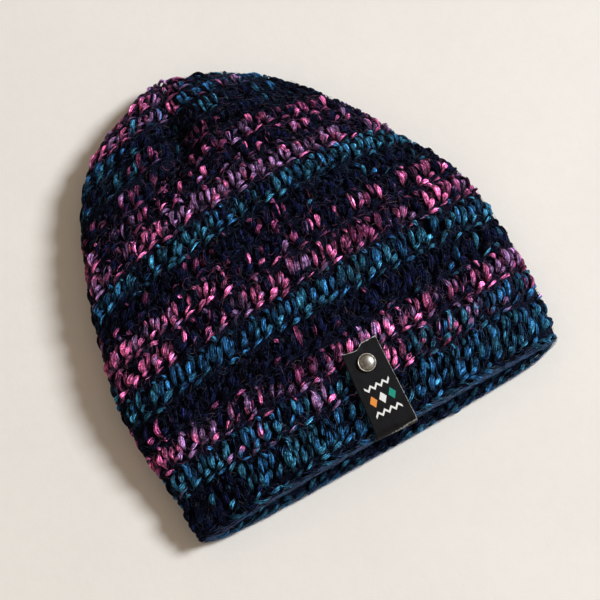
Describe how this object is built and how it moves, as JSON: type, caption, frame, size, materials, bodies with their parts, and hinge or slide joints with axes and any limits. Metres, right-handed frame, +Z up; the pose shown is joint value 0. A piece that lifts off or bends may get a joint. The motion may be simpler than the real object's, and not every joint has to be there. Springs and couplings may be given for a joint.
{
  "type": "crocheted beanie with leather tag",
  "caption": "Soft crocheted beanie lying flat, hollow and open at the brim, with a black leather tag folded over the brim and held by a domed rivet.",
  "frame": {"origin": "centre of the footprint, on the surface that the hat lies on", "axes": "+Z up; +Y from the opening at the brim to the crown; +X across the hat, to the right when the crown points away"},
  "size_m": [0.241, 0.2548, 0.0422],
  "materials": {
    "yarn": "soft bulky yarn in long colour changes of pink, teal, mauve and navy",
    "leather": "black grained leather with pale cut edges",
    "nickel": "polished nickel plating"
  },
  "bodies": {
    "root": {"crochet_body": "yarn", "leather_tag": "leather", "rivet_cap": "nickel", "rivet_post": "nickel"}
  },
  "joints": []
}
